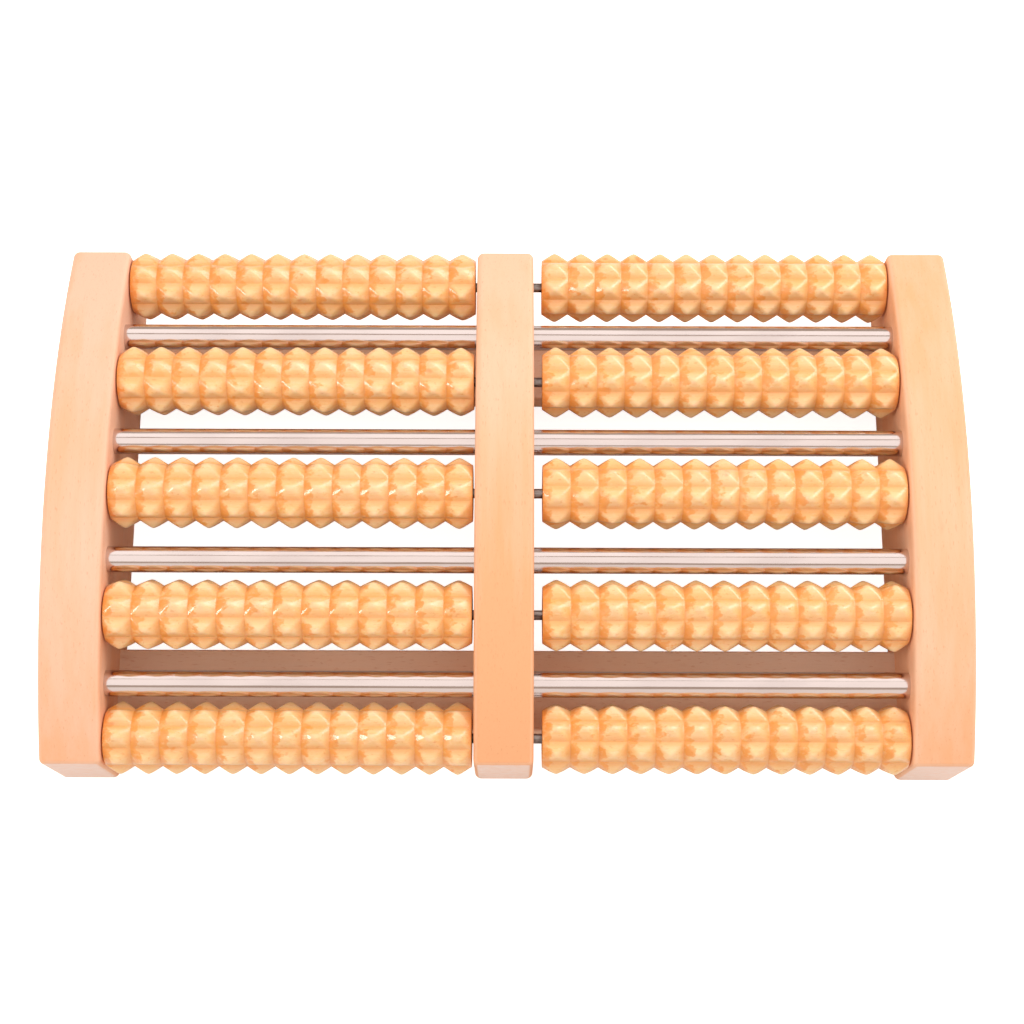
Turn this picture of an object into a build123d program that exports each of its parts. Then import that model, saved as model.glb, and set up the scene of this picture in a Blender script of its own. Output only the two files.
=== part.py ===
"""Foot massage roller: an arched wooden frame that carries five rows of
carved wooden rollers, two per row, with a polished steel tube between rows.

Millimetres. X runs along the rollers, +Y points to the rear, +Z is up.
The origin is the middle of the base, on the floor.
"""
import os
from math import asin, cos, pi, sin, sqrt

from build123d import *

# ---------------------------------------------------------------- driving sizes
FRAME_WIDTH = 280.0          # over the outer faces of the side rails
FRAME_LENGTH = 165.2         # front end face to rear end face of a rail
SIDE_RAIL_THICKNESS = 18.5
CENTRE_RAIL_THICKNESS = 18.0
CENTRE_RAIL_OFFSET = -1.0    # the centre rail stands a little left of the middle
RAIL_EDGE_RADIUS = 2.0       # rounding of the top and upright edges
RAIL_FOOT_CHAMFER = 0.6      # broken edge around the base

HOLE_ARC_RADIUS = 200.0      # axles and tubes all lie on this arc
HOLE_ARC_TOP = 37.2          # height of its crown above the floor
WOOD_ABOVE_ARC = 10.4        # from the hole arc to the arched top of a rail
END_ROW_MARGIN = 9.25        # from an end row's axle to the end of the frame
ROW_COUNT = 5
TUBE_FORWARD = 2.1           # tubes sit this far in front of the gap's middle
TUBE_TO_ROLLER = 1.65        # open gap between a tube and the roller in front of it

RING_COUNT = 13
RING_DEPTH = 2.4             # from a crest down to the bottom of a ring groove
RING_CREST_WIDTH = 0.9       # blunt crest left by the turning tool
FLUTE_COUNT = 8
FLUTE_DEPTH = 2.1
FLUTE_RIDGE_OVERSHOOT = 0.4  # neighbouring flutes would meet this far outside the crests

AXLE_RADIUS = 1.5
AXLE_SEAT_DEPTH = 10.0       # into each side rail
AXLE_END_CHAMFER = 0.3
TUBE_RADIUS = 4.0
TUBE_WALL = 0.8
TUBE_SEAT_DEPTH = 10.0

CROSSRAIL_WIDTH = 25.5
CROSSRAIL_HEIGHT = 9.0
CROSSRAIL_EDGE_RADIUS = 0.8
FRONT_CROSSRAIL_STEP = 6.3   # outward from row 4's axle to the face that looks inward
REAR_CROSSRAIL_STEP = 2.4    # the same at row 2

DOWEL_RADIUS = 2.5
DOWEL_LENGTH = 24.0
DOWEL_END_CHAMFER = 0.5
DOWEL_HOLE_SPARE = 0.5       # glue space past each end of a dowel

# -------------------------------------------------------------------- clearances
ROLLER_BORE_CLEARANCE = 0.1  # radial, a free running fit on the axle
SEAT_CLEARANCE = 0.03        # radial, axles, tubes and dowels in the wood
HOUSING_CLEARANCE = 0.1      # centre rail over a crossrail
OUTER_END_GAP = 0.4          # roller end to side rail
INNER_END_GAP = 0.6          # roller end to centre rail, in the narrower bay
CROSSRAIL_TO_ROLLER = 1.5    # under the crests of the end rows

# Turn of each roller on its axle: where its first flute stands from straight up.
FLUTE_ANGLES_LEFT = (15.0, 11.0, 30.5, 18.0, 30.0)
FLUTE_ANGLES_RIGHT = (2.0, 38.0, 1.0, 23.0, 14.0)

# ----------------------------------------------------------------- derived sizes
INNER_HALF_SPAN = FRAME_WIDTH / 2 - SIDE_RAIL_THICKNESS
HALF_LENGTH = FRAME_LENGTH / 2
NARROW_BAY = INNER_HALF_SPAN - abs(CENTRE_RAIL_OFFSET) - CENTRE_RAIL_THICKNESS / 2
ROLLER_LENGTH = NARROW_BAY - OUTER_END_GAP - INNER_END_GAP
RING_PITCH = ROLLER_LENGTH / RING_COUNT
ROW_ANGLE = 2 * asin((HALF_LENGTH - END_ROW_MARGIN) / HOLE_ARC_RADIUS) / (ROW_COUNT - 1)
ROW_PITCH = 2 * HOLE_ARC_RADIUS * sin(ROW_ANGLE / 2)
ROLLER_TIP_RADIUS = ROW_PITCH / 2 - TUBE_FORWARD - TUBE_RADIUS - TUBE_TO_ROLLER
RING_VALLEY_RADIUS = ROLLER_TIP_RADIUS - RING_DEPTH
FLUTE_VALLEY_RADIUS = ROLLER_TIP_RADIUS - FLUTE_DEPTH
FLUTE_RIDGE_RADIUS = ROLLER_TIP_RADIUS + FLUTE_RIDGE_OVERSHOOT
FLUTE_STEP = 2 * pi / FLUTE_COUNT


def arc_height(y, lift=0.0):
    """Height of the hole arc, or of the arc `lift` outside it, at y."""
    radius = HOLE_ARC_RADIUS + lift
    return HOLE_ARC_TOP - HOLE_ARC_RADIUS + sqrt(radius * radius - y * y)


def row_positions():
    """(y, z) of each row's axle, rear row first."""
    places = []
    for row in range(ROW_COUNT):
        angle = ((ROW_COUNT - 1) / 2 - row) * ROW_ANGLE
        y = HOLE_ARC_RADIUS * sin(angle)
        places.append((y, arc_height(y)))
    return places


def tube_positions():
    """(y, z) of each tie tube, rear tube first."""
    places = []
    for gap in range(ROW_COUNT - 1):
        angle = ((ROW_COUNT - 2) / 2 - gap) * ROW_ANGLE
        y = HOLE_ARC_RADIUS * sin(angle) - TUBE_FORWARD
        places.append((y, arc_height(y)))
    return places


def crossrail_centres():
    """y of the front and the rear crossrail."""
    rows = row_positions()
    front = rows[-2][0] - FRONT_CROSSRAIL_STEP - CROSSRAIL_WIDTH / 2
    rear = rows[1][0] + REAR_CROSSRAIL_STEP + CROSSRAIL_WIDTH / 2
    return front, rear


def crossrail_top():
    """Height of both crossrails, just clear of the crests of the end rows."""
    return row_positions()[0][1] - ROLLER_TIP_RADIUS - CROSSRAIL_TO_ROLLER


def bar_along_x(radius, x_start, x_end, y, z):
    """Round bar parallel to X."""
    circle = Plane.YZ.offset(x_start) * Pos(y, z) * Circle(radius)
    return extrude(circle, amount=x_end - x_start)


def block(x_range, y_range, z_range):
    """Rectangular block from its limits."""
    size = [high - low for low, high in (x_range, y_range, z_range)]
    middle = [(high + low) / 2 for low, high in (x_range, y_range, z_range)]
    return Pos(*middle) * Box(*size)


# ------------------------------------------------------------------------ frame
def arched_board(x_start, thickness):
    """Flat-bottomed board with an arched top and softened edges."""
    end_height = arc_height(HALF_LENGTH, WOOD_ABOVE_ARC)
    crown = HOLE_ARC_TOP + WOOD_ABOVE_ARC
    outline = Plane.YZ * make_face(
        [
            Line((-HALF_LENGTH, 0), (HALF_LENGTH, 0)),
            Line((HALF_LENGTH, 0), (HALF_LENGTH, end_height)),
            ThreePointArc((HALF_LENGTH, end_height), (0, crown), (-HALF_LENGTH, end_height)),
            Line((-HALF_LENGTH, end_height), (-HALF_LENGTH, 0)),
        ]
    )
    board = Pos(x_start, 0, 0) * extrude(outline, amount=thickness)
    base = board.edges().group_by(Axis.Z)[0]
    upper = [edge for edge in board.edges() if edge not in base]
    board = fillet(upper, RAIL_EDGE_RADIUS)
    foot = board.faces().sort_by(Axis.Z)[0]
    return chamfer(foot.edges(), RAIL_FOOT_CHAMFER)


def bar_holes(x_start, x_end):
    """Bars that cut the axle and tube holes between two x positions."""
    cutters = []
    for y, z in row_positions():
        cutters.append(bar_along_x(AXLE_RADIUS + SEAT_CLEARANCE, x_start, x_end, y, z))
    for y, z in tube_positions():
        cutters.append(bar_along_x(TUBE_RADIUS + SEAT_CLEARANCE, x_start, x_end, y, z))
    return cutters


def dowel_holes(side):
    """Dowel holes across the joint between crossrails and one side rail."""
    reach = DOWEL_LENGTH / 2 + DOWEL_HOLE_SPARE
    joint = side * INNER_HALF_SPAN
    height = crossrail_top() - CROSSRAIL_HEIGHT / 2
    radius = DOWEL_RADIUS + SEAT_CLEARANCE
    return [
        bar_along_x(radius, joint - reach, joint + reach, y, height)
        for y in crossrail_centres()
    ]


def side_rail(side):
    """Side rail; side is -1 for the left one and +1 for the right one."""
    x_start = min(side * INNER_HALF_SPAN, side * FRAME_WIDTH / 2)
    rail = arched_board(x_start, SIDE_RAIL_THICKNESS)
    seat_end = side * (INNER_HALF_SPAN + max(AXLE_SEAT_DEPTH, TUBE_SEAT_DEPTH))
    mouth = side * (INNER_HALF_SPAN - 1)
    for cutter in bar_holes(min(mouth, seat_end), max(mouth, seat_end)):
        rail -= cutter
    for cutter in dowel_holes(side):
        rail -= cutter
    return rail


def centre_rail():
    """Middle rail, bored right through and housed over both crossrails."""
    x_start = CENTRE_RAIL_OFFSET - CENTRE_RAIL_THICKNESS / 2
    x_end = x_start + CENTRE_RAIL_THICKNESS
    rail = arched_board(x_start, CENTRE_RAIL_THICKNESS)
    for cutter in bar_holes(x_start - 1, x_end + 1):
        rail -= cutter
    half = CROSSRAIL_WIDTH / 2 + HOUSING_CLEARANCE
    for y in crossrail_centres():
        rail -= block((x_start - 1, x_end + 1), (y - half, y + half), (-1, crossrail_top()))
    return rail


def crossrail(y):
    """Low rail under the rollers, butted between the two side rails."""
    bottom = crossrail_top() - CROSSRAIL_HEIGHT
    half = CROSSRAIL_WIDTH / 2
    span = (-INNER_HALF_SPAN, INNER_HALF_SPAN)
    rail = block(span, (y - half, y + half), (bottom, crossrail_top()))
    rail = fillet(rail.edges().filter_by(Axis.X), CROSSRAIL_EDGE_RADIUS)
    for side in (-1, 1):
        for cutter in dowel_holes(side):
            rail -= cutter
    return rail


def crossrail_dowels():
    """The four dowels that pin the crossrail ends, one at each corner."""
    height = crossrail_top() - CROSSRAIL_HEIGHT / 2
    pins = []
    for y in crossrail_centres():
        for side in (-1, 1):
            joint = side * INNER_HALF_SPAN
            start = joint - DOWEL_LENGTH / 2
            pin = bar_along_x(DOWEL_RADIUS, start, start + DOWEL_LENGTH, y, height)
            pins.append(chamfer(pin.edges().filter_by(GeomType.CIRCLE), DOWEL_END_CHAMFER))
    return Compound(children=pins)


# ------------------------------------------------------------------ steel parts
def tie_tube(y, z):
    """Polished steel tube from side rail to side rail."""
    end = INNER_HALF_SPAN + TUBE_SEAT_DEPTH
    tube = bar_along_x(TUBE_RADIUS, -end, end, y, z)
    return tube - bar_along_x(TUBE_RADIUS - TUBE_WALL, -end, end, y, z)


def axle(y, z):
    """Steel rod that carries the two rollers of one row."""
    end = INNER_HALF_SPAN + AXLE_SEAT_DEPTH
    rod = bar_along_x(AXLE_RADIUS, -end, end, y, z)
    return chamfer(rod.edges().filter_by(GeomType.CIRCLE), AXLE_END_CHAMFER)


# --------------------------------------------------------------------- rollers
def ring_profile():
    """Half outline of the turned blank: a row of blunt-crested rings."""
    half_crest = RING_CREST_WIDTH / 2
    points = [(0, 0), (0, RING_VALLEY_RADIUS)]
    for ring in range(RING_COUNT):
        middle = (ring + 0.5) * RING_PITCH
        points.append((middle - half_crest, ROLLER_TIP_RADIUS))
        points.append((middle + half_crest, ROLLER_TIP_RADIUS))
        points.append(((ring + 1) * RING_PITCH, RING_VALLEY_RADIUS))
    points.append((ROLLER_LENGTH, 0))
    return points


def flute_outline():
    """Cross-section of the fluting: flute bottoms alternate with ridges."""
    points = []
    for index in range(2 * FLUTE_COUNT):
        angle = index * FLUTE_STEP / 2
        radius = FLUTE_RIDGE_RADIUS if index % 2 else FLUTE_VALLEY_RADIUS
        points.append((-radius * sin(angle), radius * cos(angle)))
    return points


def roller_blank():
    """Carved roller on the X axis, starting at x = 0, first flute upward."""
    rings = revolve(Plane.XZ * make_face(Polyline(*ring_profile(), close=True)), Axis.X)
    flutes = Plane.YZ * make_face(Polyline(*flute_outline(), close=True))
    body = rings & extrude(flutes, amount=ROLLER_LENGTH)
    bore = AXLE_RADIUS + ROLLER_BORE_CLEARANCE
    return body - bar_along_x(bore, -1, ROLLER_LENGTH + 1, 0, 0)


def write(node, shape):
    """Write one node's STEP file."""
    export_step(shape, f"parts/{node}.step")


def main():
    os.makedirs("parts", exist_ok=True)
    write("left_side_rail", side_rail(-1))
    write("right_side_rail", side_rail(1))
    write("centre_rail", centre_rail())
    front, rear = crossrail_centres()
    write("front_crossrail", crossrail(front))
    write("rear_crossrail", crossrail(rear))
    write("crossrail_dowels", crossrail_dowels())
    for number, (y, z) in enumerate(tube_positions(), start=1):
        write(f"tie_tube_{number}", tie_tube(y, z))
    blank = roller_blank()
    left_start = -INNER_HALF_SPAN + OUTER_END_GAP
    right_start = INNER_HALF_SPAN - OUTER_END_GAP - ROLLER_LENGTH
    for number, (y, z) in enumerate(row_positions(), start=1):
        write(f"axle_{number}", axle(y, z))
        left_turn = FLUTE_ANGLES_LEFT[number - 1]
        right_turn = FLUTE_ANGLES_RIGHT[number - 1]
        write(f"roller_left_{number}", Pos(left_start, y, z) * Rot(X=left_turn) * blank)
        write(f"roller_right_{number}", Pos(right_start, y, z) * Rot(X=right_turn) * blank)


main()
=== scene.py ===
"""Foot massage roller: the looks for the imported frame.

An arched beech frame holds five rows of carved, lacquered rollers, two per
row, on steel axles, with a polished tie tube between rows. Everything is in
metres in the frame's own axes: X along the rollers, +Y to the rear, +Z up.
"""
import logging
from dataclasses import dataclass, field
from enum import Enum
from math import atan2, cos, exp, log, pi, radians, sin, sqrt
from typing import Any

import bmesh
import bpy
from mathutils import Matrix, Vector


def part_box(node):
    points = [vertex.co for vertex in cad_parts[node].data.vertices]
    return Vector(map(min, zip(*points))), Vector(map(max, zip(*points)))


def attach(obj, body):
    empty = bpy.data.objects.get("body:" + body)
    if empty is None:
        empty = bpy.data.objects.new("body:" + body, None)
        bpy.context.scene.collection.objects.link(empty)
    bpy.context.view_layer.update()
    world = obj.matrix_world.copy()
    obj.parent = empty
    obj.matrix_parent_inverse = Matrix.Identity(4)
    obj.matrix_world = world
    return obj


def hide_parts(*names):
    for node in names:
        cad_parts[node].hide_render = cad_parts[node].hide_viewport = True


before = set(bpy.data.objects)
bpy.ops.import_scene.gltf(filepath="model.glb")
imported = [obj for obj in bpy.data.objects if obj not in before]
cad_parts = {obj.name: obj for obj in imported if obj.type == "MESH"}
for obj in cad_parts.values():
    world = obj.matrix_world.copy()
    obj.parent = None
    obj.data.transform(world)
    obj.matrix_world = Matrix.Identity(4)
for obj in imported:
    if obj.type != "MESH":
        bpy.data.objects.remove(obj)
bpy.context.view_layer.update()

MM = 0.001

log_book = logging.getLogger("foot_roller")

Socket = bpy.types.NodeSocket
Colour = tuple[float, float, float, float]
Triple = tuple[float, float, float]


class Bay(Enum):
    """The two bays between the rails."""

    LEFT = "left"
    RIGHT = "right"


class GrainAxis(Enum):
    """The way the wood's grain runs in a piece."""

    ALONG_ROLLERS = "X"
    FRONT_TO_REAR = "Y"


# ------------------------------------------------------------------ node helper
class Recipe:
    """A material's node sheet, with short ways to add and join nodes."""

    def __init__(self, name: str) -> None:
        """Start an empty material.

        Args:
            name: the material's name.
        """
        self.material = bpy.data.materials.new(name)
        self.material.use_nodes = True
        self.tree = self.material.node_tree
        self.tree.nodes.clear()

    def put(
        self, kind: str, inputs: dict[Any, Any] | None = None, **settings: Any
    ) -> bpy.types.Node:
        """Add a node.

        Args:
            kind: the node's type name, without its "ShaderNode" start.
            inputs: values or sockets for its inputs, by name or number.
            **settings: the node's own settings.

        Returns:
            The new node.
        """
        node = self.tree.nodes.new("ShaderNode" + kind)
        for key, value in settings.items():
            setattr(node, key, value)
        for key, value in (inputs or {}).items():
            if isinstance(value, Socket):
                self.tree.links.new(value, node.inputs[key])
            else:
                node.inputs[key].default_value = value
        return node

    def math(self, operation: str, first: Any, second: Any = 0.0) -> Socket:
        """Join two numbers.

        Args:
            operation: Blender's name of the operation.
            first: a number or a socket.
            second: a number or a socket.

        Returns:
            The result's socket.
        """
        return self.put("Math", {0: first, 1: second}, operation=operation).outputs[0]

    def ramp(
        self, value: Socket, low: float, high: float, start: float = 0.0, end: float = 1.0
    ) -> Socket:
        """Map a value smoothly from one range to another.

        Args:
            value: what is mapped.
            low: where the ramp starts.
            high: where the ramp ends.
            start: the result at and before low.
            end: the result at and past high.

        Returns:
            The mapped value's socket.
        """
        inputs = {0: value, 1: low, 2: high, 3: start, 4: end}
        return self.put("MapRange", inputs, interpolation_type="SMOOTHSTEP").outputs[0]

    def blend(self, amount: Socket, under: Any, over: Any, mode: str = "MIX") -> Socket:
        """Lay one colour over another.

        Args:
            amount: how much of the upper colour shows.
            under: the lower colour or its socket.
            over: the upper colour or its socket.
            mode: Blender's name of the blending mode.

        Returns:
            The mixed colour's socket.
        """
        node = self.put("Mix", {0: amount, 6: under, 7: over}, data_type="RGBA", blend_type=mode)
        return node.outputs[2]

    def noise(
        self, place: Socket, stretch: Triple, detail: float = 3.0, roughness: float = 0.55
    ) -> Socket:
        """Add stretched noise.

        Args:
            place: the coordinates.
            stretch: waves per metre along each axis.
            detail: how many finer layers it has.
            roughness: how strong the finer layers are.

        Returns:
            The noise value's socket.
        """
        scaled = self.put("Mapping", {0: place, 3: stretch}).outputs[0]
        inputs = {"Vector": scaled, "Scale": 1.0, "Detail": detail, "Roughness": roughness}
        return self.put("TexNoise", inputs).outputs[0]

    def bump(
        self, height: Socket, depth: float, strength: float, under: Socket | None = None
    ) -> Socket:
        """Turn heights into a tilted surface.

        Args:
            height: the heights, 0 to 1.
            depth: how far 0 to 1 is, in metres.
            strength: how much of it shows.
            under: a coarser tilt that this one adds to.

        Returns:
            The normal's socket.
        """
        inputs = {"Height": height, "Distance": depth, "Strength": strength}
        if under is not None:
            inputs["Normal"] = under
        return self.put("Bump", inputs).outputs[0]

    def finish(self, inputs: dict[Any, Any]) -> bpy.types.Material:
        """Close the sheet with one Principled shader.

        Args:
            inputs: the shader's values and sockets.

        Returns:
            The finished material.
        """
        shader = self.put("BsdfPrincipled", inputs)
        self.put("OutputMaterial", {0: shader.outputs[0]})
        return self.material


# --------------------------------------------------------------------- finishes
@dataclass(frozen=True)
class SandedBeech:
    """Pale, matte beech of the rails: fine pores, small flecks, paler end grain, and a painted
    highlight along the rounded edges.
    """

    name: str
    grain: GrainAxis = GrainAxis.FRONT_TO_REAR
    pale: Colour = (0.92, 0.585, 0.405, 1.0)
    warm: Colour = (0.91, 0.455, 0.235, 1.0)
    fleck: Colour = (0.62, 0.27, 0.13, 1.0)
    end_grain: Colour = (0.95, 0.78, 0.72, 1.0)
    wear_and_highlight: Colour = (0.96, 0.68, 0.50, 1.0)
    rear_pale: float = 0.15
    front_warm: float = 0.60
    rear_y: float = 75.0 * MM
    front_y: float = -80.0 * MM
    cloud_swing: float = 0.32
    band_swing: float = 0.16
    pore_show: float = 0.10
    ray_show: float = 0.30
    blot_show: float = 0.22
    edge_highlight: float = 0.30
    shift: Triple = (0.0, 0.0, 0.0)

    def stretch(self, along: float, across: float) -> Triple:
        """Waves per metre on the three axes, with the grain's way told from the rest.

        Args:
            along: waves per metre along the grain.
            across: waves per metre across it.

        Returns:
            The three numbers for X, Y and Z.
        """
        if self.grain is GrainAxis.FRONT_TO_REAR:
            return (across, along, across)
        return (along, across, across)

    def build(self) -> bpy.types.Material:
        """Make the material.

        Returns:
            The new material.
        """
        sheet = Recipe(self.name)
        coords = sheet.put("TexCoord")
        place = sheet.put("Mapping", {0: coords.outputs["Object"], 1: self.shift}).outputs[0]
        cloud = sheet.noise(place, self.stretch(9.0, 26.0), 2.0)
        bands = sheet.noise(place, self.stretch(10.0, 230.0), 3.0, 0.6)
        pores = sheet.noise(place, self.stretch(160.0, 2600.0), 2.0, 0.7)
        rays = sheet.noise(place, self.stretch(420.0, 2300.0), 1.0)
        blot = sheet.noise(place, self.stretch(55.0, 160.0), 2.0)

        along = sheet.put("SeparateXYZ", {0: coords.outputs["Object"]}).outputs["Y"]
        run = sheet.ramp(along, self.rear_y, self.front_y, self.rear_pale, self.front_warm)
        swings = ((cloud, self.cloud_swing), (bands, self.band_swing))
        for pattern, swing in swings:
            run = sheet.math("ADD", run, sheet.ramp(pattern, 0.30, 0.70, -swing, swing))
        warmth = sheet.put("Clamp", {0: run}).outputs[0]
        colour = sheet.blend(warmth, self.pale, self.warm)
        flecks = (
            (pores, 0.52, 0.74, self.pore_show),
            (rays, 0.64, 0.74, self.ray_show),
            (blot, 0.70, 0.80, self.blot_show),
        )
        for pattern, low, high, show in flecks:
            colour = sheet.blend(sheet.ramp(pattern, low, high, 0.0, show), colour, self.fleck)

        facing = sheet.put("SeparateXYZ", {0: coords.outputs["Normal"]})
        across = facing.outputs["X" if self.grain is GrainAxis.ALONG_ROLLERS else "Y"]
        end = sheet.ramp(sheet.math("ABSOLUTE", across), 0.80, 0.97)
        rings = sheet.noise(place, (420.0, 420.0, 900.0), 3.0, 0.65)
        ring_show = sheet.ramp(rings, 0.35, 0.70, 0.0, 0.24)
        end_colour = sheet.blend(ring_show, self.end_grain, self.warm)
        colour = sheet.blend(end, colour, end_colour)

        # Painted highlight: the rounded edges, where the normal leans between the axes, are made
        # paler.
        flat = sheet.math("ABSOLUTE", facing.outputs["X"])
        flat = sheet.math("MAXIMUM", flat, sheet.math("ABSOLUTE", facing.outputs["Y"]))
        flat = sheet.math("MAXIMUM", flat, sheet.math("ABSOLUTE", facing.outputs["Z"]))
        edge = sheet.ramp(flat, 0.90, 0.74, 0.0, self.edge_highlight)
        colour = sheet.blend(edge, colour, self.wear_and_highlight)

        tilt = sheet.bump(pores, 0.00012, 0.22, sheet.bump(bands, 0.0004, 0.10))
        rough = sheet.ramp(pores, 0.3, 0.7, 0.50, 0.62)
        return sheet.finish({
            "Base Color": colour, "Roughness": rough, "Normal": tilt,
            "Specular IOR Level": 0.32, "Subsurface Weight": 0.0,
        })


@dataclass(frozen=True)
class LacqueredRoller:
    """Honey-coloured turned wood under a clear gloss lacquer, with painted shade in its grooves and
    hollows and on each ring's left-facing flank.
    """

    name: str = "honey_lacquered_wood"
    light: Colour = (0.96, 0.655, 0.350, 1.0)
    deep: Colour = (0.95, 0.560, 0.225, 1.0)
    # The next colour darkens pores, knots and filled scuffs, and is also painted shade in the ring
    # grooves; the one after it colours random blots and is also painted shade on each ring's left
    # flank and in the hollows.
    dark_marks_and_shade: Colour = (0.72, 0.230, 0.045, 1.0)
    syrup: Colour = (0.88, 0.330, 0.050, 1.0)
    rubbed: Colour = (0.98, 0.72, 0.450, 1.0)
    ring_pitch: float = 8.5 * MM
    half_length: float = 55.25 * MM
    groove_radius: float = 8.75 * MM
    crest_radius: float = 11.0 * MM
    hollow_band: float = 1.4 * MM
    crest_band: float = 0.9 * MM
    spread: Triple = (3.7, 5.3, 4.1)
    glow_depth: float = 1.5 * MM
    glow_spread: Triple = (1.0, 0.30, 0.08)
    coat_roughness: float = 0.09
    # strength of the random blots and of the painted shade on each ring's left flank
    stain: float = 0.80
    pore_show: float = 0.25
    knot_show: float = 0.65
    groove_shade: float = 0.38
    scuff_pale: float = 0.30
    scuff_dark: float = 0.35
    hollow_shade: float = 0.55
    crest_show: float = 0.45

    def build(self) -> bpy.types.Material:
        """Make the material.

        Returns:
            The new material.
        """
        sheet = Recipe(self.name)
        place = sheet.put("TexCoord").outputs["Object"]
        turned = sheet.put("ObjectInfo").outputs["Location"]
        spot = sheet.put("VectorMath", {0: turned, 1: self.spread}, operation="MULTIPLY")
        wander = sheet.put("VectorMath", {0: place, 1: spot.outputs[0]}, operation="ADD").outputs[0]

        cloud = sheet.noise(wander, (30.0, 70.0, 70.0), 2.0)
        streaks = sheet.noise(wander, (35.0, 520.0, 520.0), 4.0, 0.6)
        pores = sheet.noise(wander, (330.0, 2400.0, 2400.0), 2.0, 0.6)
        knots = sheet.noise(wander, (120.0, 160.0, 160.0), 1.0)

        axes = sheet.put("SeparateXYZ", {0: place})
        radius = sheet.math("SQRT", sheet.math(
            "ADD",
            sheet.math("MULTIPLY", axes.outputs["Y"], axes.outputs["Y"]),
            sheet.math("MULTIPLY", axes.outputs["Z"], axes.outputs["Z"]),
        ))
        from_end = sheet.math("ADD", axes.outputs["X"], self.half_length)
        ring = sheet.math("DIVIDE", from_end, self.ring_pitch)
        from_groove = sheet.math("PINGPONG", ring, 0.5)

        broad = sheet.ramp(cloud, 0.30, 0.70, -0.05, 0.60)
        tone = sheet.math("ADD", broad, sheet.ramp(streaks, 0.38, 0.66, 0.0, 0.55))
        colour = sheet.blend(sheet.put("Clamp", {0: tone}).outputs[0], self.light, self.deep)
        # Pores and knots darken at random; near each ring groove the same dark colour is painted
        # shade.
        dark = (
            (pores, 0.58, 0.72, self.pore_show),
            (knots, 0.74, 0.80, self.knot_show),
            (from_groove, 0.045, 0.0, self.groove_shade),
        )
        for pattern, low, high, show in dark:
            colour = sheet.blend(sheet.ramp(pattern, low, high, 0.0, show), colour, self.dark_marks_and_shade)
        # Painted shade: each ring's left-facing flank turns deep orange, broken up by random blots
        # that stain it too.
        shaded_flank = sheet.ramp(sheet.math("FRACT", ring), 0.58, 0.12, -0.13, 0.12)
        blots = sheet.noise(wander, (240.0, 340.0, 340.0), 3.0, 0.55)
        stain_and_shade = sheet.ramp(sheet.math("ADD", blots, shaded_flank), 0.52, 0.62, 0.0, self.stain)
        colour = sheet.blend(stain_and_shade, colour, self.syrup)
        scuffs = sheet.noise(wander, (520.0, 900.0, 900.0), 3.0, 0.6)
        wear_and_highlight = sheet.ramp(scuffs, 0.56, 0.66, 0.0, self.scuff_pale)
        colour = sheet.blend(wear_and_highlight, colour, self.rubbed)
        filled = sheet.ramp(scuffs, 0.38, 0.31, 0.0, self.scuff_dark)
        colour = sheet.blend(filled, colour, self.dark_marks_and_shade)
        floor, top = self.groove_radius, self.crest_radius
        # Painted shade: the surface turns deep orange towards the bottom of the hollows.
        low = sheet.ramp(radius, floor + self.hollow_band, floor, 0.0, self.hollow_shade)
        colour = sheet.blend(low, colour, self.syrup)
        high = sheet.ramp(radius, top - self.crest_band, top, 0.0, self.crest_show)
        colour = sheet.blend(high, colour, self.rubbed)

        tilt = sheet.bump(cloud, 0.0008, 0.10)
        rough = sheet.ramp(streaks, 0.3, 0.7, 0.34, 0.46)
        return sheet.finish({
            "Base Color": colour, "Roughness": rough, "Normal": tilt,
            "Subsurface Weight": 0.16, "Subsurface Radius": self.glow_spread,
            "Subsurface Scale": self.glow_depth,
            "Coat Weight": 0.85, "Coat Roughness": self.coat_roughness, "Coat IOR": 1.5,
            "Coat Normal": sheet.bump(streaks, 0.00025, 0.10, tilt),
        })


@dataclass(frozen=True)
class PolishedTube:
    """Bright plated steel of the tie tubes, with faint draw lines."""

    name: str = "polished_tube_steel"
    bright: Colour = (0.70, 0.625, 0.62, 1.0)
    dull: Colour = (0.62, 0.545, 0.54, 1.0)

    def build(self) -> bpy.types.Material:
        """Make the material.

        Returns:
            The new material.
        """
        sheet = Recipe(self.name)
        place = sheet.put("TexCoord").outputs["Object"]
        lines = sheet.noise(place, (14.0, 2600.0, 2600.0), 3.0, 0.7)
        haze = sheet.noise(place, (40.0, 160.0, 160.0), 2.0)
        colour = sheet.blend(sheet.ramp(haze, 0.40, 0.75, 0.0, 0.6), self.bright, self.dull)
        shine = sheet.ramp(lines, 0.3, 0.7, 0.07, 0.13)
        rough = sheet.math("ADD", shine, sheet.ramp(haze, 0.4, 0.8, 0.0, 0.06))
        return sheet.finish({
            "Base Color": colour, "Metallic": 1.0, "Roughness": rough,
            "Normal": sheet.bump(lines, 0.00006, 0.25),
        })


@dataclass(frozen=True)
class DrawnRod:
    """Plain drawn steel of the axles, a little oily."""

    name: str = "drawn_rod_steel"
    bright: Colour = (0.34, 0.32, 0.31, 1.0)
    dark: Colour = (0.13, 0.105, 0.095, 1.0)

    def build(self) -> bpy.types.Material:
        """Make the material.

        Returns:
            The new material.
        """
        sheet = Recipe(self.name)
        place = sheet.put("TexCoord").outputs["Object"]
        lines = sheet.noise(place, (60.0, 3200.0, 3200.0), 2.0, 0.6)
        stain = sheet.noise(place, (260.0, 420.0, 420.0), 3.0)
        colour = sheet.blend(sheet.ramp(stain, 0.40, 0.65), self.bright, self.dark)
        return sheet.finish({
            "Base Color": colour, "Metallic": 1.0,
            "Roughness": sheet.ramp(stain, 0.3, 0.7, 0.28, 0.48),
            "Normal": sheet.bump(lines, 0.00008, 0.3),
        })


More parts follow.
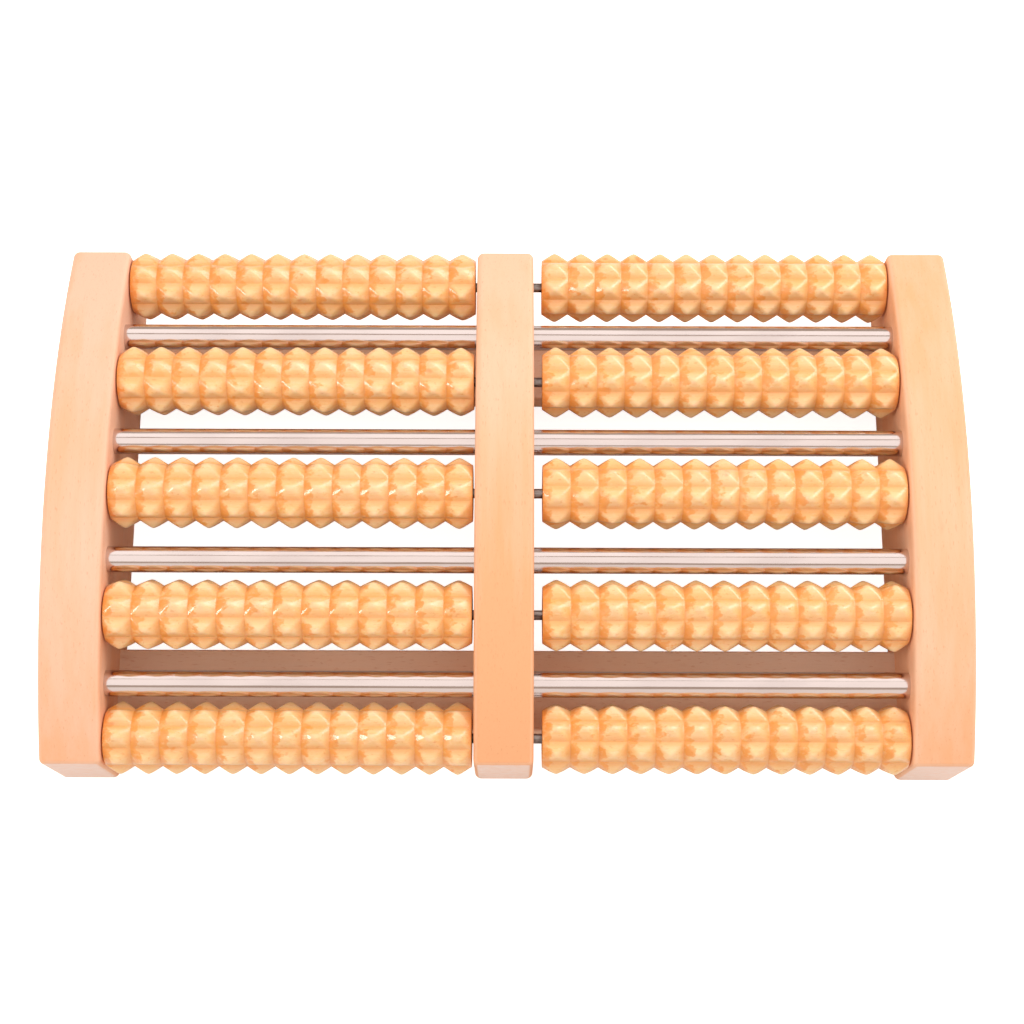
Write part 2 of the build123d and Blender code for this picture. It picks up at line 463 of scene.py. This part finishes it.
@dataclass(frozen=True)
class PaleGround:
    """Plain near-white ground whose glow evens it out and lights nothing."""

    name: str = "pale_ground"
    colour: Colour = (0.90, 0.90, 0.90, 1.0)
    paler: Colour = (0.92, 0.92, 0.92, 1.0)
    white: Colour = (1.0, 1.0, 1.0, 1.0)
    glow: float = 0.85

    def build(self) -> bpy.types.Material:
        """Make the material.

        Returns:
            The new material.
        """
        sheet = Recipe(self.name)
        place = sheet.put("TexCoord").outputs["Object"]
        mottle = sheet.noise(place, (60.0, 60.0, 60.0), 2.0)
        tint = sheet.blend(sheet.ramp(mottle, 0.3, 0.7), self.colour, self.paler)
        seen = sheet.put("LightPath").outputs["Is Camera Ray"]
        return sheet.finish({
            "Base Color": tint, "Roughness": 0.9, "Specular IOR Level": 0.1,
            "Emission Color": self.white,
            "Emission Strength": sheet.math("MULTIPLY", seen, self.glow),
        })


def dress(piece: bpy.types.Object, material: bpy.types.Material) -> None:
    """Give a piece one material all over.

    Args:
        piece: the piece.
        material: its finish.
    """
    if not piece.material_slots:
        piece.data.materials.append(material)
    for place in piece.material_slots:
        place.material = material


# ----------------------------------------------------------------------- pieces
@dataclass
class CarvedRoller:
    """A roller turned into rings, then fluted lengthways into rows of pyramids."""

    length: float = 110.5 * MM
    rings: int = 13
    flutes: int = 8
    tip_radius: float = 11.0 * MM
    ring_valley: float = 8.6 * MM
    flute_valley: float = 8.9 * MM
    flute_ridge: float = 11.45 * MM
    crest_round: float = 0.62 * MM
    groove_round: float = 0.10 * MM
    edge_round: float = 0.16 * MM
    bore: float = 1.6 * MM
    bore_lead: float = 0.5 * MM
    lead_depth: float = 0.4 * MM
    end_round: float = 0.35 * MM
    ring_steps: tuple[float, ...] = (
        0.0, 0.025, 0.08, 0.16, 0.24, 0.32, 0.39, 0.445,
        0.5, 0.555, 0.61, 0.68, 0.76, 0.84, 0.92, 0.975,
    )
    flute_steps: tuple[float, ...] = (
        0.0, 0.02, 0.06, 0.12, 0.19, 0.26, 0.33, 0.40, 0.455,
        0.5, 0.545, 0.60, 0.67, 0.74, 0.81, 0.88, 0.94, 0.98,
    )

    def ring_height(self, x: float) -> float:
        """Radius that the turning leaves.

        Args:
            x: distance from the roller's end.

        Returns:
            The radius there.
        """
        pitch = self.length / self.rings
        half = pitch / 2
        away = abs((x % pitch) - half)
        drop = sqrt(away * away + self.crest_round ** 2) - self.crest_round
        deepest = sqrt(half * half + self.crest_round ** 2) - self.crest_round
        slope = (self.tip_radius - self.ring_valley) / deepest
        floor = exp(-max(half - away, 0.0) / self.groove_round) * self.groove_round * slope * 0.5
        return self.tip_radius - slope * drop + floor

    def flute_height(self, angle: float) -> float:
        """Radius that the fluting leaves.

        Args:
            angle: turn from the first flute's bottom.

        Returns:
            The radius there.
        """
        step = 2 * pi / self.flutes
        away = abs(((angle + step / 2) % step) - step / 2)
        bottom = Vector((self.flute_valley, 0.0))
        ridge = Vector((self.flute_ridge * cos(step / 2), self.flute_ridge * sin(step / 2)))
        side = ridge - bottom
        normal_angle = atan2(side.x, -side.y)
        reach = bottom.x * cos(normal_angle) + bottom.y * sin(normal_angle)
        return reach / cos(away - normal_angle)

    def radius(self, x: float, angle: float) -> float:
        """Radius of the carved surface, with the edges softened by sanding.

        Args:
            x: distance from the roller's end.
            angle: turn from the first flute's bottom.

        Returns:
            The radius there.
        """
        turned, fluted, soft = self.ring_height(x), self.flute_height(angle), self.edge_round
        low = min(turned, fluted)
        return low - soft * log(exp((low - turned) / soft) + exp((low - fluted) / soft))

    def sections(self) -> list[tuple[float, float]]:
        """Places along the outside, from one end face to the other.

        Returns:
            Pairs of the distance from the end and how far the section is drawn in.
        """
        pitch = self.length / self.rings
        rings = range(self.rings)
        inner = [((ring + step) * pitch, 0.0) for ring in rings for step in self.ring_steps]
        soft = self.end_round
        start = [(0.0, soft), (soft * 0.29, soft * 0.29), (soft, 0.0)]
        finish = [(self.length - x, pull) for x, pull in reversed(start)]
        return start + [place for place in inner if soft < place[0] < self.length - soft] + finish

    def mesh(self, name: str, turn: float) -> bpy.types.Mesh:
        """Build the closed mesh, centred on the axle.

        Args:
            name: the mesh's name.
            turn: where the first flute stands from straight up, in radians.

        Returns:
            The new mesh.
        """
        shape = bmesh.new()
        flutes = range(self.flutes)
        turns = [
            2 * pi * (flute + step) / self.flutes for flute in flutes for step in self.flute_steps
        ]
        around = len(turns)

        def loop(x: float, radii: list[float]) -> list[bmesh.types.BMVert]:
            """One closed ring of points round the axle."""
            return [
                shape.verts.new((x - self.length / 2, -r * sin(a + turn), r * cos(a + turn)))
                for r, a in zip(radii, turns)
            ]

        loops = []
        for x, pull in self.sections():
            deep = min(max(x, self.end_round), self.length - self.end_round)
            loops.append(loop(x, [self.radius(deep, a) - pull for a in turns]))
        mouth, depth = self.bore + self.bore_lead, self.lead_depth
        bored = (
            (self.length, mouth), (self.length - depth, self.bore), (depth, self.bore), (0.0, mouth)
        )
        loops.extend(loop(x, [radius] * around) for x, radius in bored)
        for one, two in zip(loops, loops[1:] + loops[:1]):
            for i in range(around):
                j = (i + 1) % around
                shape.faces.new((one[i], one[j], two[j], two[i])).smooth = True
        bmesh.ops.recalc_face_normals(shape, faces=shape.faces)
        mesh = bpy.data.meshes.new(name)
        shape.to_mesh(mesh)
        shape.free()
        return mesh


@dataclass
class RollerSet:
    """The ten carved rollers on their axles."""

    finish: LacqueredRoller = field(default_factory=LacqueredRoller)
    shape: CarvedRoller = field(default_factory=CarvedRoller)
    turns: dict[Bay, tuple[float, ...]] = field(default_factory=lambda: {
        Bay.LEFT: (15.0, 11.0, 30.5, 18.0, 30.0),
        Bay.RIGHT: (2.0, 38.0, 1.0, 23.0, 14.0),
    })

    def build(self) -> list[bpy.types.Object]:
        """Make all ten rollers and seat each on its own body.

        Returns:
            The rollers.
        """
        material = self.finish.build()
        rollers = []
        for bay, turns in self.turns.items():
            for row, turn in enumerate(turns, start=1):
                node = f"roller_{bay.value}_{row}"
                low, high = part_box(node)
                mesh = self.shape.mesh(f"carved_{node}", radians(turn))
                mesh.materials.append(material)
                piece = bpy.data.objects.new(f"carved_{node}", mesh)
                bpy.context.scene.collection.objects.link(piece)
                piece.matrix_world = Matrix.Translation((low + high) / 2)
                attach(piece, f"{node}_body")
                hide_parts(node)
                rollers.append(piece)
        return rollers


@dataclass
class WoodFrame:
    """The three arched rails, the two crossrails and their dowels."""

    left: SandedBeech = SandedBeech(
        "beech_left", pale=(0.92, 0.585, 0.430, 1.0), rear_pale=0.0, front_warm=0.60
    )
    right: SandedBeech = SandedBeech(
        "beech_right", rear_pale=0.85, front_warm=0.50, shift=(0.3, 0.1, 0.2)
    )
    centre: SandedBeech = SandedBeech(
        "beech_centre", rear_pale=0.20, front_warm=1.0, shift=(0.7, 0.4, 0.1)
    )
    # Painted light: the crossrails' beech is made paler than the rails' to lift them out of the
    # shade they sit in.
    across: SandedBeech = SandedBeech(
        "beech_crossrail", grain=GrainAxis.ALONG_ROLLERS,
        pale=(0.97, 0.79, 0.66, 1.0), warm=(0.96, 0.70, 0.52, 1.0),
        rear_pale=0.5, front_warm=0.5, shift=(0.2, 0.8, 0.5),
    )
    dowel: SandedBeech = SandedBeech(
        "birch_dowel", grain=GrainAxis.ALONG_ROLLERS,
        pale=(0.86, 0.62, 0.42, 1.0), shift=(0.9, 0.2, 0.7),
    )

    def build(self) -> list[bpy.types.Object]:
        """Dress every wooden piece of the frame.

        Returns:
            The dressed pieces.
        """
        pieces = (
            (self.left, ("left_side_rail",)),
            (self.right, ("right_side_rail",)),
            (self.centre, ("centre_rail",)),
            (self.across, ("front_crossrail", "rear_crossrail")),
            (self.dowel, ("crossrail_dowels",)),
        )
        dressed = []
        for finish, names in pieces:
            material = finish.build()
            for name in names:
                dress(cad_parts[name], material)
                dressed.append(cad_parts[name])
        return dressed


@dataclass
class TieTubes:
    """Four polished tubes, finer than the frame's own meshes so that they shine evenly."""

    count: int = 4
    wall: float = 0.8 * MM
    lip: float = 0.15 * MM
    steps_around: int = 96
    finish: PolishedTube = field(default_factory=PolishedTube)

    def mesh(self, name: str, length: float, radius: float) -> bpy.types.Mesh:
        """Build one tube along X, centred, open at both ends.

        Args:
            name: the mesh's name.
            length: end to end.
            radius: outer radius.

        Returns:
            The new mesh.
        """
        shape = bmesh.new()
        half, inner = length / 2, radius - self.wall
        outline = [
            (-half + self.lip, radius), (half - self.lip, radius), (half, radius - self.lip),
            (half, inner + self.lip), (half - self.lip, inner), (-half + self.lip, inner),
            (-half, inner + self.lip), (-half, radius - self.lip),
        ]
        rows = []
        for x, r in outline:
            turns = [2 * pi * i / self.steps_around for i in range(self.steps_around)]
            rows.append([shape.verts.new((x, r * cos(a), r * sin(a))) for a in turns])
        for one, two in zip(rows, rows[1:] + rows[:1]):
            for i in range(self.steps_around):
                j = (i + 1) % self.steps_around
                shape.faces.new((one[i], one[j], two[j], two[i])).smooth = True
        bmesh.ops.recalc_face_normals(shape, faces=shape.faces)
        mesh = bpy.data.meshes.new(name)
        shape.to_mesh(mesh)
        shape.free()
        mesh.set_sharp_from_angle(angle=radians(30))
        return mesh

    def build(self) -> list[bpy.types.Object]:
        """Make the tubes and seat them in the frame.

        Returns:
            The tubes.
        """
        material = self.finish.build()
        tubes = []
        for number in range(1, self.count + 1):
            node = f"tie_tube_{number}"
            low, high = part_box(node)
            mesh = self.mesh(f"bright_{node}", high.x - low.x, (high.z - low.z) / 2)
            mesh.materials.append(material)
            piece = bpy.data.objects.new(f"bright_{node}", mesh)
            bpy.context.scene.collection.objects.link(piece)
            piece.matrix_world = Matrix.Translation((low + high) / 2)
            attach(piece, "frame")
            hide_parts(node)
            tubes.append(piece)
        return tubes


@dataclass
class Axles:
    """Five plain steel rods."""

    count: int = 5
    finish: DrawnRod = field(default_factory=DrawnRod)

    def build(self) -> list[bpy.types.Object]:
        """Dress the rods.

        Returns:
            The rods.
        """
        material = self.finish.build()
        rods = [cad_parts[f"axle_{number}"] for number in range(1, self.count + 1)]
        for rod in rods:
            dress(rod, material)
        return rods


# ----------------------------------------------------------------------- studio
@dataclass(frozen=True)
class SoftLight:
    """One area light."""

    name: str
    place: Triple
    size: tuple[float, float]
    brightness: float
    aim: Triple = (0.0, 0.0, 0.02)
    colour: Triple = (1.0, 1.0, 1.0)

    def build(self) -> bpy.types.Object:
        """Hang the light so that its face looks as bright as asked.

        Returns:
            The light.
        """
        lamp = bpy.data.lights.new(self.name, "AREA")
        lamp.shape = "RECTANGLE"
        lamp.size, lamp.size_y = self.size
        lamp.energy = self.brightness * pi * self.size[0] * self.size[1]
        lamp.color = self.colour
        light = bpy.data.objects.new(self.name, lamp)
        bpy.context.scene.collection.objects.link(light)
        light.location = self.place
        toward = Vector(self.aim) - Vector(self.place)
        light.rotation_euler = toward.to_track_quat("-Z", "Y").to_euler()
        light.visible_camera = False
        return light


@dataclass
class Studio:
    """Pale floor, white surroundings, soft lights and the camera."""

    floor_radius: float = 3.0
    floor_sides: int = 96
    floor_drop: float = 0.2 * MM
    backdrop: Colour = (1.0, 1.0, 1.0, 1.0)
    fill: Colour = (1.0, 0.80, 0.64, 1.0)
    fill_strength: float = 0.56
    eye: Triple = (0.00133, -0.15912, 0.59403)
    look_down: float = 74.61
    roll: float = 0.18
    lens: float = 66.37
    sensor: float = 36.0
    nearest: float = 0.01
    farthest: float = 20.0
    lights: tuple[SoftLight, ...] = (
        SoftLight("overhead_front", (0.0, -0.060, 0.32), (0.95, 0.29), 0.76, (0.0, -0.060, 0.0)),
        SoftLight("overhead_rear", (0.0, 0.300, 0.34), (0.95, 0.32), 0.86, (0.0, 0.16, 0.0)),
        SoftLight("right_panel", (0.55, 0.38, 0.42), (0.45, 0.45), 3.4),
        SoftLight("front_panel", (0.0, -0.95, 0.42), (1.4, 0.7), 0.5),
        SoftLight("left_window", (-0.72, -0.094, 0.336), (0.20, 0.10), 14.0),
    )

    def floor(self) -> bpy.types.Object:
        """Lay the floor, a wide round disc just under the object.

        Returns:
            The floor.
        """
        shape = bmesh.new()
        bmesh.ops.create_circle(
            shape, cap_ends=True, segments=self.floor_sides, radius=self.floor_radius
        )
        mesh = bpy.data.meshes.new("floor")
        shape.to_mesh(mesh)
        shape.free()
        mesh.materials.append(PaleGround().build())
        floor = bpy.data.objects.new("floor", mesh)
        bpy.context.scene.collection.objects.link(floor)
        floor.location.z = -self.floor_drop
        return floor

    def surroundings(self) -> bpy.types.World:
        """Make the white backdrop and the warm fill light that comes from all round.

        Returns:
            The world.
        """
        world = bpy.data.worlds.new("white_room")
        world.use_nodes = True
        tree = world.node_tree
        tree.nodes.clear()
        seen = tree.nodes.new("ShaderNodeLightPath")
        glow, wall = (tree.nodes.new("ShaderNodeBackground") for _ in range(2))
        glow.inputs[0].default_value = self.fill
        glow.inputs[1].default_value = self.fill_strength
        wall.inputs[0].default_value = self.backdrop
        choice = tree.nodes.new("ShaderNodeMixShader")
        out = tree.nodes.new("ShaderNodeOutputWorld")
        tree.links.new(seen.outputs["Is Camera Ray"], choice.inputs[0])
        tree.links.new(glow.outputs[0], choice.inputs[1])
        tree.links.new(wall.outputs[0], choice.inputs[2])
        tree.links.new(choice.outputs[0], out.inputs[0])
        bpy.context.scene.world = world
        return world

    def camera(self) -> bpy.types.Object:
        """Set up the camera, looking steeply down from the front.

        Returns:
            The camera.
        """
        lens = bpy.data.cameras.new("camera")
        lens.lens = self.lens
        lens.sensor_width = self.sensor
        lens.clip_start = self.nearest
        lens.clip_end = self.farthest
        camera = bpy.data.objects.new("camera", lens)
        bpy.context.scene.collection.objects.link(camera)
        tilt = Matrix.Rotation(radians(90.0 - self.look_down), 4, "X")
        spin = Matrix.Rotation(radians(self.roll), 4, "Z")
        camera.matrix_world = Matrix.Translation(self.eye) @ tilt @ spin
        bpy.context.scene.camera = camera
        return camera

    def build(self) -> None:
        """Set up the whole studio."""
        self.camera()
        self.floor()
        self.surroundings()
        for light in self.lights:
            light.build()
        bpy.context.scene.view_settings.view_transform = "Standard"


def main() -> None:
    """Build every part of the object in order, then the studio."""
    logging.basicConfig(level=logging.INFO, format="%(name)s: %(message)s")
    for part in (WoodFrame(), Axles(), TieTubes(), RollerSet()):
        for piece in part.build():
            faces = len(piece.data.polygons)
            log_book.info("%s: %s with %d faces", type(part).__name__, piece.name, faces)
    Studio().build()


if __name__ == "__main__":
    main()
